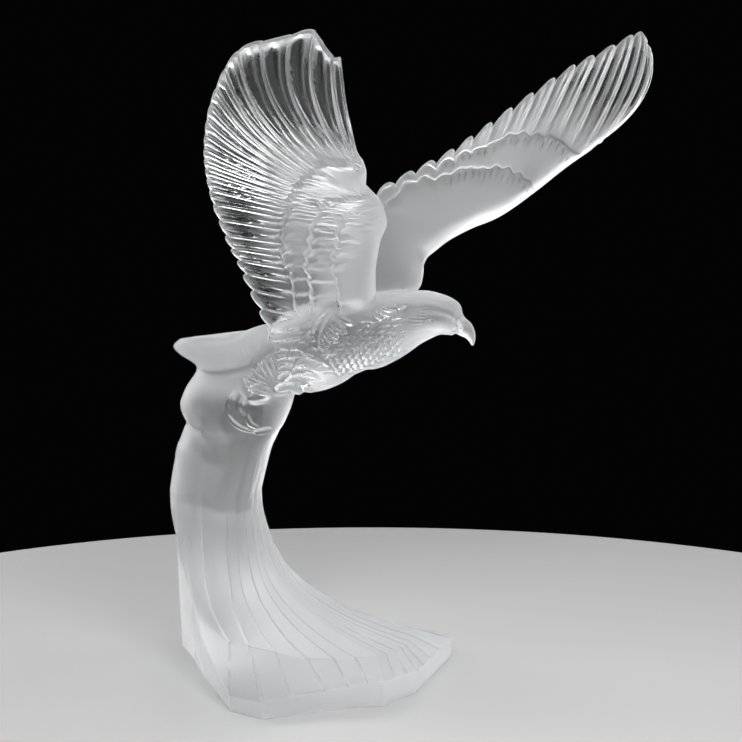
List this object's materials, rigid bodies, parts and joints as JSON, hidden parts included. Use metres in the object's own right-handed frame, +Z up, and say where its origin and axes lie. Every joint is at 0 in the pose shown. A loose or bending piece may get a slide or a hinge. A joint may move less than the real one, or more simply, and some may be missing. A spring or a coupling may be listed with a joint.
{
  "type": "crystal eagle sculpture",
  "caption": "Cast frosted crystal eagle with raised wings, leaning out from a column of rock that sweeps down into a broad faceted foot.",
  "frame": {"origin": "on the flat underside of the rock's foot, near the middle of its outline", "axes": "+Z up; +X the way the bird heads in the picture's plane; -Y towards the viewer"},
  "size_m": [0.3319, 0.2371, 0.431],
  "materials": {
    "crystal": "acid-frosted colourless crystal with polished ridges and rims"
  },
  "bodies": {
    "root": {"crystal_eagle": "crystal"}
  },
  "joints": []
}
